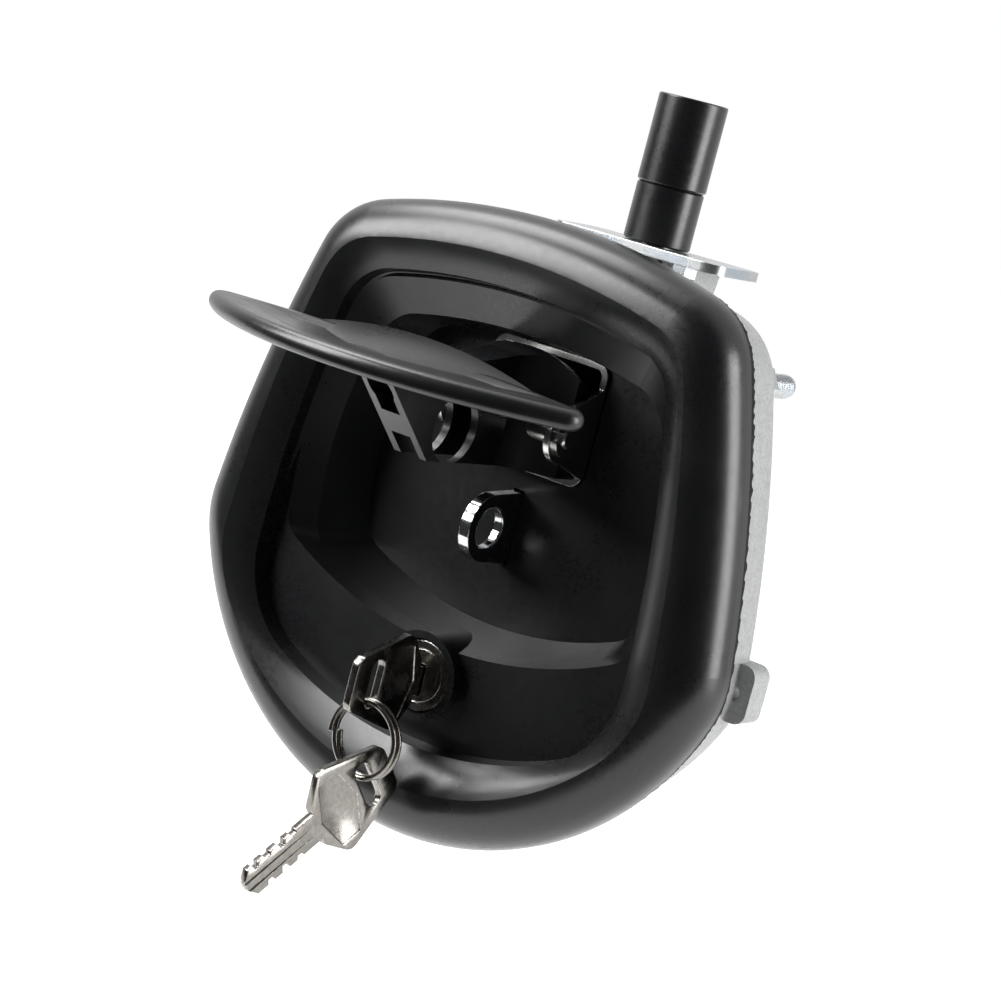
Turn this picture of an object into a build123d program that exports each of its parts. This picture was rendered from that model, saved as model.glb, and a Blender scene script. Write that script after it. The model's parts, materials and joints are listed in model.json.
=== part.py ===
from build123d import *
from math import cos, radians, sin
import os

os.makedirs("parts", exist_ok=True)

# Flush paddle lock for a panel, sizes in millimetres.
# X is to the right seen from the front, Y runs to the back, Z is up.
# The origin is on the lock's middle plane, in the face that lies against the panel.

# Outlines seen from the front: heights, corner points and corner radii
flange_top = 72.0
flange_upper = (57.5, 62.8)
flange_side = (70.3, 20.5)
flange_lower = (77.3, -20.1)
flange_bottom = -79.5
flange_corners = (20.0, 26.0)
lip_top = 54.5
lip_upper = (46.0, 48.2)
lip_side = (54.0, 6.0)
lip_lower = (56.0, -39.0)
lip_bottom = -56.5
lip_corners = (15.0, 26.0)
mouth_top = 55.2
mouth_upper = (46.6, 48.8)
mouth_side = (55.0, 6.0)
mouth_lower = (54.0, -18.5)
mouth_bottom = -32.8
throat_top = 44.5
throat_upper = (39.5, 39.5)
throat_side = (48.3, 8.0)
throat_lower = (46.5, -20.0)
throat_bottom = -31.2
floor_top = 43.0
floor_upper = (37.5, 38.0)
floor_side = (44.0, 8.0)
floor_lower = (41.0, -18.0)
floor_bottom = -27.5
pocket_corners = (12.0, 8.0)

# Front tray: rolled rim, deep pocket and crescent shelf
rim_height = 13.0
rim_round = 11.0
rim_slope_start = 0.58
rim_slope_middle = 0.8
rim_slope_depth = 1.5
lip_depth = 9.2
mouth_depth = 6.0
shelf_depth = 4.5
shelf_draft = 0.7
throat_y = 1.0
floor_y = 14.5
floor_round = 5.0
ridge_round = 1.6
cast_wall = 2.5
rim_wall = 3.4
rim_hollow_depth = 7.0
rim_rib = 2.4
rim_rib_x = 30.0
rim_rib_length = 16.0

# Window in the floor with its pivot bracket of bent sheet
bracket_half_width = 17.0
bracket_bottom = 11.5
bracket_top = 42.0
bracket_corner = 3.5
bracket_sheet = 1.6
bracket_front = 13.2
bracket_flange = 4.0
fit_gap = 0.3

# Paddle on its pin
pin_y = 2.0
pin_z = 24.0
pin_radius = 2.5
ear_radius = 6.5
clip_thickness = 0.9
running_gap = 0.06
blade_half_span = 56.4
blade_tip_y = -47.9
blade_front_y = -73.4
blade_rear_y = -38.1
blade_tip_round = 4.0
blade_tip_pull = 1.75
blade_z = 35.65
blade_thickness = 4.6
blade_tilt = 1.0
blade_hollow = 0.9
blade_border = 4.5
web_tongue = (-57.0, 8.0, 36.6, 37.2)
web_shoulder = (-47.0, 22.0, 36.9, 39.4)
web_crest = (-37.5, 31.0, 37.2, 41.0)
web_waist = (-29.0, 13.0, 36.8, 39.7)
web_neck = (-20.0, 5.0, 36.4, 38.4)
arm_half_width = 4.75
arm_wall = 2.0
arm_top_skin = 3.0
arm_foot_y = -32.5
arm_tip_y = -54.0
arm_crest_y = -6.0
arm_crest_z = 40.3
arm_waist_y = -24.0
arm_waist_z = 37.4
arm_cross_bar = (-41.0, -38.0, 28.0)
arm_window_z = 28.6
arm_window_radius = 3.4
hub_bottom = 13.5
hub_radius = 18.0
hub_edge_radius = 13.8
hub_half_width = 15.0
flare_start = -5.5
flare_end = 5.0
flare_bulge = 3.4
bridge_front = -10.0
bridge_back = -6.4
lock_hole_y = -24.5
lock_hole_z = 21.5
lock_hole_radius = 8.25

# Crank and rod
crank_radius = 24.0
crank_down = 20.0
fold_range = 50.0
crank_root_radius = 8.0
crank_end_radius = 4.5
crank_pin_radius = 2.5
slide_thickness = 3.0
slide_gap = 0.4
cheek_thickness = 2.5
clevis_half_width = slide_thickness / 2 + slide_gap + cheek_thickness + fit_gap
clevis_height = crank_root_radius + fit_gap + 0.1
fork_tip_y = 21.0
fork_wall = 4.6
fork_shoulder = 3.0
rod_y = 46.0
rod_bar_width = 9.0
rod_bar_top = 46.0
stud_radius = 5.0
stud_foot = 36.0
sleeve_joint = 85.4
sleeve_top = 107.4
sleeve_edge = 0.5
stud_end_gap = 6.0
lower_sleeve_radius = 8.5
upper_sleeve_radius = 8.75

# Padlock eye
hasp_thickness = 3.0
eye_y = 4.0
eye_z = -3.0
eye_radius = 5.0
hasp_nose_radius = 8.4
hasp_edge = 0.7
hasp_root_top = 6.4
hasp_root_bottom = -12.2
hasp_root_y = 19.5

# Key cylinder
cylinder_z = -40.2
boss_radius = 10.9
boss_depth = 8.0
head_radius = 8.9
head_depth = 7.0
head_thickness = 3.5
barrel_radius = 7.6
barrel_back = 21.9
plug_radius = 6.4
tail_half_width = 2.6
tail_back = 26.2
nut_half_width = 11.0
nut_thickness = 3.6
cam_length = 16.0
cam_thickness = 2.2
cam_half_width = 5.0
keyway_height = 8.0
keyway_width = 2.5

# Key, key ring and spare key
key_thickness = 2.0
key_length = 46.5
bow_far_half = 6.3
bow_wide_half = 12.2
bow_wide_at = 18.3
bow_neck_at = 24.0
bow_neck_half = 5.4
bow_corner = 3.0
blade_half = 3.6
key_slot_at = 7.6
key_slot_length = 12.2
key_slot_width = 4.6
key_point_half = 1.2
key_point_length = 2.0
key_head_y = -33.0
key_z = -41.3
ring_radius = 9.1
ring_wire = 0.7
ring_pitch = 1.85
ring_center = (1.94, -24.86, -54.47)
ring_turn = 263.9
key_tip_y = key_head_y + key_length
spare_head = (4.89, -17.6, -60.13)
spare_along = (-0.10, -0.78, -0.61)
spare_normal = (0.98, -0.18, 0.07)

# Gasket, rear housing and its studs
gasket_thickness = 2.4
gasket_outer = 0.02
gasket_inner = 0.7
housing_front_share = 0.15
housing_middle_share = 0.22
housing_back_share = 0.26
housing_middle_y = 15.0
housing_back = 20.0
housing_round = 4.0
housing_wall = 2.5
box_bottom = -58.0
box_top = 52.0
box_back = 58.0
box_corner = 6.0
box_wall = 2.5
tower_half_width = 14.5
tower_foot_half_width = 12.5
tower_front = 42.0
tower_top = 68.1
tower_corner = 3.0
cover_thickness = 1.5
cover_screw_inset = 5.0
lug_place = (72.0, -20.0)
lug_hole_radius = 1.6
guide_half_width = 25.4
guide_front = 35.0
guide_back = 58.5
guide_thickness = 2.4
guide_corner = 5.0
stud_upper = (50.0, 47.5)
stud_lower = (50.0, -40.0)
clamp_radius = 2.75
clamp_root = 3.6
clamp_end = 38.0
washer_radius = 6.0
washer_thickness = 1.2
clamp_nut_radius = 5.2
clamp_nut_height = 4.5
screw_head_radius = 3.2
screw_head_height = 2.0
screw_radius = 1.5
guide_nut_radius = 3.4
guide_nut_height = 3.0
guide_nut_x = 14.5
guide_nut_y = 38.6


def front_plane(y):
    """Plane parallel to the panel at depth y, seen from the front."""
    return Plane.XZ.offset(-y)


def outline(top, upper, side, lower, bottom, corners):
    return (top, *upper, *side, *lower, bottom, *corners)


def between(first, second, share):
    return tuple(a + (b - a) * share for a, b in zip(first, second))


def grown(shape, d):
    top, ux, uz, sx, sz, lx, lz, bottom, upper_r, lower_r = shape
    return (top + d, ux + d, uz + d, sx + d, sz, lx + d, lz - d, bottom - d, upper_r + d, lower_r + d)


def outline_face(y, shape):
    """Face of four arcs with rounded corners, left and right alike."""
    top, ux, uz, sx, sz, lx, lz, bottom, upper_r, lower_r = shape
    with BuildSketch(front_plane(y)) as face:
        with BuildLine():
            ThreePointArc((-ux, uz), (0, top), (ux, uz))
            ThreePointArc((ux, uz), (sx, sz), (lx, lz))
            ThreePointArc((lx, lz), (0, bottom), (-lx, lz))
            ThreePointArc((-lx, lz), (-sx, sz), (-ux, uz))
        make_face()
        corners = vertices().sort_by(Axis.Y)
        fillet(corners[-2:], upper_r)
        lower_corners = [v for v in vertices() if abs(v.X) > lx - 0.01 and abs(v.Y - lz) < 0.01]
        fillet(lower_corners, lower_r)
    return face.sketch


def mirrored_places(place):
    return [place, (-place[0], place[1])]


flange = outline(flange_top, flange_upper, flange_side, flange_lower, flange_bottom, flange_corners)
lip = outline(lip_top, lip_upper, lip_side, lip_lower, lip_bottom, lip_corners)
mouth = outline(mouth_top, mouth_upper, mouth_side, mouth_lower, mouth_bottom, pocket_corners)
throat = outline(throat_top, throat_upper, throat_side, throat_lower, throat_bottom, pocket_corners)
tray_floor = outline(floor_top, floor_upper, floor_side, floor_lower, floor_bottom, pocket_corners)
pan_back = floor_y + cast_wall
window_width = 2 * (bracket_half_width + fit_gap)
window_height = bracket_top - bracket_bottom + 2 * fit_gap
window_z = (bracket_top + bracket_bottom) / 2
stud_places = mirrored_places(stud_upper) + mirrored_places(stud_lower)

# Front tray: the casting that shows from the front
with BuildPart() as front_tray:
    extrude(outline_face(0, flange), amount=rim_height)
    fillet(faces().sort_by(Axis.Y)[0].edges(), rim_round)
    extrude(outline_face(0, grown(flange, -rim_wall)), amount=rim_hollow_depth / 2, mode=Mode.SUBTRACT)
    extrude(outline_face(0, grown(flange, -rim_wall - 2)), amount=rim_hollow_depth, mode=Mode.SUBTRACT)
    extrude(outline_face(0, grown(lip, cast_wall)), amount=lip_depth)
    with BuildSketch(Plane.XZ):
        with Locations(*stud_places):
            Circle(clamp_radius + cast_wall)
        with Locations(*mirrored_places((rim_rib_x, (flange_top + lip_top) / 2))):
            Rectangle(rim_rib, rim_rib_length)
        with Locations(*mirrored_places((rim_rib_x, (flange_bottom + lip_bottom) / 2))):
            Rectangle(rim_rib, rim_rib_length)
        with Locations(*mirrored_places(((flange_side[0] + lip_side[0]) / 2, lip_side[1]))):
            Rectangle(rim_rib_length - rim_rib, rim_rib)
    extrude(amount=rim_hollow_depth - 0.5)
    loft([outline_face(-1, grown(throat, cast_wall + 2)), outline_face(pan_back, grown(tray_floor, cast_wall))])
    loft(
        [
            outline_face(-rim_height, between(flange, lip, rim_slope_start)),
            outline_face(rim_slope_depth - rim_height, between(flange, lip, rim_slope_middle)),
            outline_face(-lip_depth, lip),
        ],
        mode=Mode.SUBTRACT,
    )
    loft([outline_face(-lip_depth, lip), outline_face(-shelf_depth, grown(lip, -shelf_draft))], mode=Mode.SUBTRACT)
    loft([outline_face(-mouth_depth, mouth), outline_face(throat_y, throat)], mode=Mode.SUBTRACT)
    loft([outline_face(throat_y, throat), outline_face(floor_y, tray_floor)], mode=Mode.SUBTRACT)
    with BuildSketch(front_plane(pan_back)):
        with Locations((0, cylinder_z)):
            Circle(boss_radius)
    extrude(amount=pan_back + boss_depth)
    with BuildSketch(front_plane(-head_depth + head_thickness)):
        with Locations((0, cylinder_z)):
            Circle(head_radius + fit_gap / 2)
    extrude(amount=boss_depth, mode=Mode.SUBTRACT)
    with BuildSketch(front_plane(pan_back)):
        with Locations((0, window_z)):
            RectangleRounded(window_width, window_height, bracket_corner + fit_gap)
        with Locations((0, (hasp_root_top + hasp_root_bottom) / 2)):
            Rectangle(hasp_thickness + fit_gap, hasp_root_top - hasp_root_bottom + fit_gap)
    extrude(amount=cast_wall + floor_round + 4, mode=Mode.SUBTRACT)
    with BuildSketch(front_plane(pan_back)):
        with Locations((0, cylinder_z)):
            Circle(barrel_radius + fit_gap / 2)
    extrude(amount=pan_back + boss_depth, mode=Mode.SUBTRACT)
    with BuildSketch(Plane.XZ):
        with Locations(*stud_places):
            Circle(clamp_radius)
    extrude(amount=clamp_root, mode=Mode.SUBTRACT)
front_tray.part.label = "front_tray"
export_step(front_tray.part, "parts/front_tray.step")

# Gasket: the soft ring between the rim and the panel
with BuildPart() as panel_gasket:
    extrude(outline_face(gasket_thickness, between(flange, lip, gasket_outer)), amount=gasket_thickness)
    extrude(
        outline_face(gasket_thickness, between(flange, lip, gasket_inner)),
        amount=gasket_thickness,
        mode=Mode.SUBTRACT,
    )
    with BuildSketch(front_plane(gasket_thickness)):
        with Locations(*stud_places):
            Circle(clamp_radius + fit_gap)
    extrude(amount=gasket_thickness, mode=Mode.SUBTRACT)
panel_gasket.part.label = "panel_gasket"
export_step(panel_gasket.part, "parts/panel_gasket.step")

# Rear housing: the pale casting behind the panel, with the linkage box and the rod tower
housing_front = between(flange, lip, housing_front_share)
housing_middle = between(flange, lip, housing_middle_share)
housing_rear = between(flange, lip, housing_back_share)
inner_back = housing_back - housing_wall
box_half_width = bracket_half_width + bracket_flange + 2 * fit_gap + box_wall
box_height = box_top - box_bottom
box_z = (box_top + box_bottom) / 2
lug_places = mirrored_places(lug_place)
cover_screw_x = box_half_width - cover_screw_inset
cover_screws_at = mirrored_places((cover_screw_x, box_bottom + cover_screw_inset))
cover_screws_at += mirrored_places((cover_screw_x, box_top - cover_screw_inset))
guide_screws_at = mirrored_places((guide_nut_x, guide_nut_y))
with BuildPart() as rear_housing:
    loft(
        [outline_face(gasket_thickness, housing_front), outline_face(housing_middle_y, housing_middle)],
    )
    loft([outline_face(housing_middle_y, housing_middle), outline_face(housing_back, housing_rear)])
    fillet(faces().sort_by(Axis.Y)[-1].edges(), housing_round)
    with BuildSketch(front_plane(housing_middle_y + 4)):
        with Locations(*lug_places):
            RectangleRounded(9, 14, 3)
    extrude(amount=7)
    loft(
        [
            outline_face(gasket_thickness, grown(housing_front, -housing_wall)),
            outline_face(inner_back, grown(housing_middle, -housing_wall - 1)),
        ],
        mode=Mode.SUBTRACT,
    )
    with BuildSketch(front_plane(box_back)):
        with Locations((0, box_z)):
            RectangleRounded(2 * box_half_width, box_height, box_corner)
    extrude(amount=box_back - inner_back)
    with BuildSketch(Plane.XY.offset(box_top - box_wall)):
        with Locations((0, (tower_front + box_back) / 2)):
            RectangleRounded(2 * tower_foot_half_width, box_back - tower_front, tower_corner)
    with BuildSketch(Plane.XY.offset(tower_top)):
        with Locations((0, (tower_front + box_back) / 2)):
            RectangleRounded(2 * tower_half_width, box_back - tower_front, tower_corner)
    loft()
    with BuildSketch(front_plane(box_back)):
        with Locations((0, box_z)):
            RectangleRounded(
                2 * (box_half_width - box_wall), box_height - 2 * box_wall, box_corner - box_wall
            )
    extrude(amount=box_back - inner_back, mode=Mode.SUBTRACT)
    with BuildSketch(Plane.XY.offset(box_top - 2 * box_wall)):
        with Locations((0, rod_y)):
            Circle(stud_radius + 2 * fit_gap)
        with Locations((0, rod_y - stud_radius)):
            Rectangle(2 * stud_radius + 4 * fit_gap, 2 * stud_radius)
    extrude(amount=tower_top - box_top + 2 * box_wall, mode=Mode.SUBTRACT)
    with BuildSketch(front_plane(box_back)):
        with Locations(*cover_screws_at):
            Circle(screw_radius + 2.5)
    extrude(amount=12)
    with BuildSketch(front_plane(box_back)):
        with Locations(*cover_screws_at):
            Circle(screw_radius)
    extrude(amount=9, mode=Mode.SUBTRACT)
    with BuildSketch(front_plane(housing_back)):
        with Locations(*stud_places):
            Circle(clamp_radius + fit_gap)
        with Locations(*lug_places):
            Circle(lug_hole_radius)
    extrude(amount=housing_wall + 6, mode=Mode.SUBTRACT)
rear_housing.part.label = "rear_housing"
export_step(rear_housing.part, "parts/rear_housing.step")

# Mechanism cover: the plate that closes the box behind, held by four screws
with BuildPart() as mechanism_cover:
    with BuildSketch(front_plane(box_back + cover_thickness)):
        with Locations((0, box_z)):
            RectangleRounded(2 * box_half_width, box_height, box_corner)
        with Locations(*cover_screws_at):
            Circle(screw_radius + fit_gap, mode=Mode.SUBTRACT)
    extrude(amount=cover_thickness)
mechanism_cover.part.label = "mechanism_cover"
export_step(mechanism_cover.part, "parts/mechanism_cover.step")

with BuildPart() as cover_screws:
    with BuildSketch(front_plane(box_back + cover_thickness)):
        with Locations(*cover_screws_at):
            Circle(screw_head_radius)
    extrude(amount=-screw_head_height)
    fillet(faces().sort_by(Axis.Y)[-1].edges(), 0.8)
    with BuildSketch(front_plane(box_back + cover_thickness)):
        with Locations(*cover_screws_at):
            Circle(screw_radius)
    extrude(amount=8)
cover_screws.part.label = "cover_screws"
export_step(cover_screws.part, "parts/cover_screws.step")

# Rod guide plate: zinc plated strip on top of the tower
with BuildPart() as rod_guide_plate:
    with BuildSketch(Plane.XY.offset(tower_top)):
        with Locations((0, (guide_front + guide_back) / 2)):
            RectangleRounded(2 * guide_half_width, guide_back - guide_front, guide_corner)
        with Locations((0, rod_y)):
            Circle(stud_radius + running_gap, mode=Mode.SUBTRACT)
        with Locations(*guide_screws_at):
            Circle(screw_radius + running_gap, mode=Mode.SUBTRACT)
    extrude(amount=guide_thickness)
rod_guide_plate.part.label = "rod_guide_plate"
export_step(rod_guide_plate.part, "parts/rod_guide_plate.step")

# Two hexagon screws under the front edge of the plate
with BuildPart() as guide_screws:
    with BuildSketch(Plane.XY.offset(tower_top - guide_nut_height)):
        with Locations(*guide_screws_at):
            RegularPolygon(guide_nut_radius, 6)
    extrude(amount=guide_nut_height)
    chamfer(faces().group_by(Axis.Z)[0].edges(), 0.4)
    with BuildSketch(Plane.XY.offset(tower_top)):
        with Locations(*guide_screws_at):
            Circle(screw_radius)
    extrude(amount=guide_thickness)
guide_screws.part.label = "guide_screws"
export_step(guide_screws.part, "parts/guide_screws.step")

# Clamp studs with washers and nuts, four places
with BuildPart() as clamp_studs:
    with BuildSketch(front_plane(clamp_end)):
        with Locations(*stud_places):
            Circle(clamp_radius)
    extrude(amount=clamp_end + clamp_root)
    chamfer(faces().sort_by(Axis.Y)[-1].edges(), 0.6)
clamp_studs.part.label = "clamp_studs"
export_step(clamp_studs.part, "parts/clamp_studs.step")

with BuildPart() as clamp_washers:
    with BuildSketch(front_plane(housing_back + washer_thickness)):
        with Locations(*stud_places):
            Circle(washer_radius)
            Circle(clamp_radius + 0.1, mode=Mode.SUBTRACT)
    extrude(amount=washer_thickness)
clamp_washers.part.label = "clamp_washers"
export_step(clamp_washers.part, "parts/clamp_washers.step")

with BuildPart() as clamp_nuts:
    with BuildSketch(front_plane(housing_back + washer_thickness + clamp_nut_height)):
        with Locations(*stud_places):
            RegularPolygon(clamp_nut_radius, 6)
            Circle(clamp_radius, mode=Mode.SUBTRACT)
    extrude(amount=clamp_nut_height)
clamp_nuts.part.label = "clamp_nuts"
export_step(clamp_nuts.part, "parts/clamp_nuts.step")

# Pivot bracket: a bent stainless box lining the window, with an ear on each side for the pin
bracket_width = 2 * bracket_half_width
bracket_height = bracket_top - bracket_bottom
with BuildPart() as pivot_bracket:
    with BuildSketch(front_plane(pan_back)):
        with Locations((0, window_z)):
            RectangleRounded(bracket_width, bracket_height, bracket_corner)
    extrude(amount=pan_back - bracket_front)
    with BuildSketch(front_plane(pan_back + bracket_sheet)):
        with Locations((0, window_z)):
            RectangleRounded(
                bracket_width + 2 * bracket_flange, bracket_height + 2 * bracket_flange, bracket_corner
            )
    extrude(amount=bracket_sheet)
    with BuildSketch(Plane.YZ.offset(-bracket_half_width)):
        with BuildLine():
            Polyline(
                (bracket_front, pin_z - 10),
                (bracket_front + 2, pin_z - 10),
                (bracket_front + 2, pin_z + 12),
                (bracket_front, pin_z + 12),
                (pin_y, pin_z + ear_radius),
            )
            ThreePointArc(
                (pin_y, pin_z + ear_radius), (pin_y - ear_radius, pin_z), (pin_y, pin_z - ear_radius)
            )
            Line((pin_y, pin_z - ear_radius), (bracket_front, pin_z - 10))
        make_face()
    extrude(amount=bracket_width)
    with BuildSketch(front_plane(pan_back + bracket_sheet)):
        with Locations((0, window_z)):
            RectangleRounded(
                bracket_width - 2 * bracket_sheet,
                bracket_height - 2 * bracket_sheet,
                bracket_corner - bracket_sheet,
            )
    extrude(amount=pan_back + 12, mode=Mode.SUBTRACT)
    with BuildSketch(front_plane(pan_back + bracket_sheet)):
        with Locations((0, bracket_bottom)):
            Rectangle(13, 8)
    extrude(amount=pan_back + bracket_sheet - floor_y, mode=Mode.SUBTRACT)
    with BuildSketch(Plane.YZ.offset(-bracket_half_width)):
        with Locations((pin_y, pin_z)):
            Circle(pin_radius + 0.02)
    extrude(amount=bracket_width, mode=Mode.SUBTRACT)
pivot_bracket.part.label = "pivot_bracket"
export_step(pivot_bracket.part, "parts/pivot_bracket.step")

pin_half = bracket_half_width + clip_thickness + 0.6
with BuildPart() as hinge_pin:
    with BuildSketch(Plane.YZ.offset(-pin_half)):
        with Locations((pin_y, pin_z)):
            Circle(pin_radius)
    extrude(amount=2 * pin_half)
    chamfer(faces().sort_by(Axis.X)[0].edges() + faces().sort_by(Axis.X)[-1].edges(), 0.4)
hinge_pin.part.label = "hinge_pin"
export_step(hinge_pin.part, "parts/hinge_pin.step")

with BuildPart() as pin_clips:
    for clip_x in (-bracket_half_width - clip_thickness, bracket_half_width):
        with BuildSketch(Plane.YZ.offset(clip_x)):
            with Locations((pin_y, pin_z)):
                Circle(pin_radius + 2.2)
                Circle(pin_radius, mode=Mode.SUBTRACT)
            with Locations((pin_y - pin_radius - 1.5, pin_z)):
                Rectangle(3.4, 2.4, mode=Mode.SUBTRACT)
        extrude(amount=clip_thickness)
pin_clips.part.label = "pin_clips"
export_step(pin_clips.part, "parts/pin_clips.step")

# Padlock eye: a bright plate standing out of the pocket floor
hasp_top = (eye_y, eye_z + hasp_nose_radius)
hasp_bottom = (eye_y, eye_z - hasp_nose_radius)
with BuildPart() as padlock_hasp:
    with BuildSketch(Plane.YZ.offset(-hasp_thickness / 2)):
        with BuildLine():
            Polyline(hasp_bottom, (hasp_root_y, hasp_root_bottom), (hasp_root_y, hasp_root_top), hasp_top)
            ThreePointArc(hasp_top, (eye_y - hasp_nose_radius, eye_z), hasp_bottom)
        make_face()
        with Locations((eye_y, eye_z)):
            Circle(eye_radius, mode=Mode.SUBTRACT)
    extrude(amount=hasp_thickness)
    fillet(edges().filter_by(GeomType.CIRCLE).filter_by(lambda e: abs(e.radius - eye_radius) < 0.01), hasp_edge)
padlock_hasp.part.label = "padlock_hasp"
export_step(padlock_hasp.part, "parts/padlock_hasp.step")

# Paddle: blade, crowned web, arm with two walls and crowned hub, cast in one
hub_crown = [(-hub_half_width, hub_edge_radius), (0.0, hub_radius), (hub_half_width, hub_edge_radius)]
blade_plane = Plane((0, blade_tip_y, blade_z), x_dir=(1, 0, 0), z_dir=(0, 0, 1)).rotated((blade_tilt, 0, 0))


def blade_face(height, inset):
    """Outline of the blade seen from above: two arcs that meet in rounded tips."""
    span = blade_half_span - blade_tip_pull * inset
    front = blade_front_y - blade_tip_y + inset
    rear = blade_rear_y - blade_tip_y - inset
    with BuildSketch(blade_plane.offset(height)) as face:
        with BuildLine():
            ThreePointArc((-span, 0), (0, front), (span, 0))
            ThreePointArc((span, 0), (0, rear), (-span, 0))
        make_face()
        fillet(vertices(), blade_tip_round)
    return face.sketch


def web_face(y, half_width, edge_z, crown_z):
    """Section of the web across the blade: an arched top over a flat underside."""
    with BuildSketch(front_plane(y)) as face:
        with BuildLine():
            ThreePointArc((-half_width, edge_z), (0, crown_z), (half_width, edge_z))
            Polyline(
                (half_width, edge_z),
                (half_width, blade_z - 1),
                (-half_width, blade_z - 1),
                (-half_width, edge_z),
            )
        make_face()
    return face.sketch


with BuildPart() as paddle_handle:
    with BuildSketch(Plane((0, pin_y, pin_z), x_dir=(1, 0, 0), z_dir=(0, -1, 0))):
        with BuildLine():
            ThreePointArc(*hub_crown)
            Polyline(hub_crown[2], (hub_half_width, 0), (-hub_half_width, 0), hub_crown[0])
        make_face()
    revolve(axis=Axis((0, pin_y, pin_z), (1, 0, 0)))
    with BuildSketch(Plane.XY.offset(hub_bottom)):
        with BuildLine():
            ThreePointArc(
                (arm_half_width, flare_start),
                (arm_half_width + flare_bulge, (flare_start + flare_end) / 2 + 1),
                (hub_half_width, flare_end),
            )
            Polyline(
                (hub_half_width, flare_end),
                (hub_half_width, pin_y + 2 * hub_radius),
                (-hub_half_width, pin_y + 2 * hub_radius),
                (-hub_half_width, flare_end),
            )
            ThreePointArc(
                (-hub_half_width, flare_end),
                (-arm_half_width - flare_bulge, (flare_start + flare_end) / 2 + 1),
                (-arm_half_width, flare_start),
            )
            Polyline(
                (-arm_half_width, flare_start),
                (-arm_half_width, pin_y - 2 * hub_radius),
                (arm_half_width, pin_y - 2 * hub_radius),
                (arm_half_width, flare_start),
            )
        make_face()
    extrude(amount=2 * hub_radius, mode=Mode.INTERSECT)
    loft([blade_face(-blade_thickness / 2, 0), blade_face(blade_thickness / 2, 0)])
    blade_rim = edges().filter_by(lambda e: e.center().Y < -30 and abs((e % 0.5).Z) < 0.2)
    fillet(blade_rim, blade_thickness / 2 - 0.1)
    loft(
        [
            blade_face(blade_thickness / 2 + 0.1, blade_border),
            blade_face(blade_thickness / 2 - blade_hollow, blade_border + 5),
        ],
        mode=Mode.SUBTRACT,
    )
    loft([web_face(*web_tongue), web_face(*web_shoulder), web_face(*web_crest)])
    loft([web_face(*web_crest), web_face(*web_waist), web_face(*web_neck)])
    with BuildSketch(Plane.YZ.offset(-arm_half_width)):
        with BuildLine():
            Polyline(
                (pin_y, hub_bottom),
                (arm_foot_y, hub_bottom + 0.2),
                (arm_tip_y, blade_z - 3),
                (arm_tip_y + 10, blade_z),
            )
            ThreePointArc((arm_tip_y + 10, blade_z), (arm_waist_y, arm_waist_z), (arm_crest_y, arm_crest_z))
            Polyline((arm_crest_y, arm_crest_z), (pin_y, pin_z + hub_radius - 2), (pin_y, hub_bottom))
        make_face()
    extrude(amount=2 * arm_half_width)
    with BuildSketch(Plane.YZ.offset(-arm_half_width + arm_wall)):
        with BuildLine():
            bar_front, bar_back, bar_top = arm_cross_bar
            Polyline(
                (bridge_front, 0),
                (bridge_front, arm_crest_z - arm_top_skin - 1.3),
                (arm_waist_y, arm_waist_z - arm_top_skin - 1.8),
                (bar_front - 6, bar_top + 0.6),
                (bar_front - 6, bar_top - 4.6),
                (bar_front, bar_top - 4.6),
                (bar_front, bar_top),
                (bar_back, bar_top),
                (bar_back, 0),
                (bridge_front, 0),
            )
        make_face()
    extrude(amount=2 * (arm_half_width - arm_wall), mode=Mode.SUBTRACT)
    with BuildSketch(front_plane(bar_back)):
        with Locations((0, arm_window_z)):
            Circle(arm_window_radius)
    extrude(amount=bar_back - blade_front_y, mode=Mode.SUBTRACT)
    with BuildSketch(Plane.YZ.offset(-clevis_half_width)):
        with BuildLine():
            Polyline(
                (bridge_back, 0),
                (bridge_back, pin_z + clevis_height),
                (pin_y + 2 * hub_radius, pin_z + clevis_height),
                (pin_y + 2 * hub_radius, 0),
                (bridge_back, 0),
            )
        make_face()
    extrude(amount=2 * clevis_half_width, mode=Mode.SUBTRACT)
    with BuildSketch(Plane.YZ.offset(-hub_half_width - 1)):
        with Locations((pin_y, pin_z)):
            Circle(pin_radius + running_gap)
        with Locations((lock_hole_y, lock_hole_z)):
            Circle(lock_hole_radius)
    extrude(amount=2 * hub_half_width + 2, mode=Mode.SUBTRACT)
    with BuildSketch(Plane.XY.offset(hub_bottom - hub_radius)):
        with Locations((0, pin_y)):
            Rectangle(4 * hub_radius, 4 * hub_radius)
    extrude(amount=hub_radius, mode=Mode.SUBTRACT)
paddle_handle.part.label = "paddle_handle"
export_step(paddle_handle.part, "parts/paddle_handle.step")

# Drive crank: two cheeks pinned to the hub, with the pin that lifts the rod
cheek_inner = slide_thickness / 2 + slide_gap
crank_angle = radians(crank_down)
crank_pin_y = pin_y + crank_radius * cos(crank_angle)
crank_pin_z = pin_z - crank_radius * sin(crank_angle)
with BuildPart() as drive_crank:
    for cheek_x in (-cheek_inner - cheek_thickness, cheek_inner):
        with BuildSketch(Plane.YZ.offset(cheek_x)):
            with Locations((pin_y, pin_z)):
                Circle(crank_root_radius)
            with Locations((crank_pin_y, crank_pin_z)):
                Circle(crank_end_radius)
            make_hull()
            with Locations((pin_y, pin_z)):
                Circle(pin_radius + running_gap, mode=Mode.SUBTRACT)
        extrude(amount=cheek_thickness)
    with BuildSketch(Plane.YZ.offset(-cheek_inner - cheek_thickness)):
        with Locations((crank_pin_y, crank_pin_z)):
            Circle(crank_pin_radius)
    extrude(amount=2 * (cheek_inner + cheek_thickness))
drive_crank.part.label = "drive_crank"
export_step(drive_crank.part, "parts/drive_crank.step")

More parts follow.
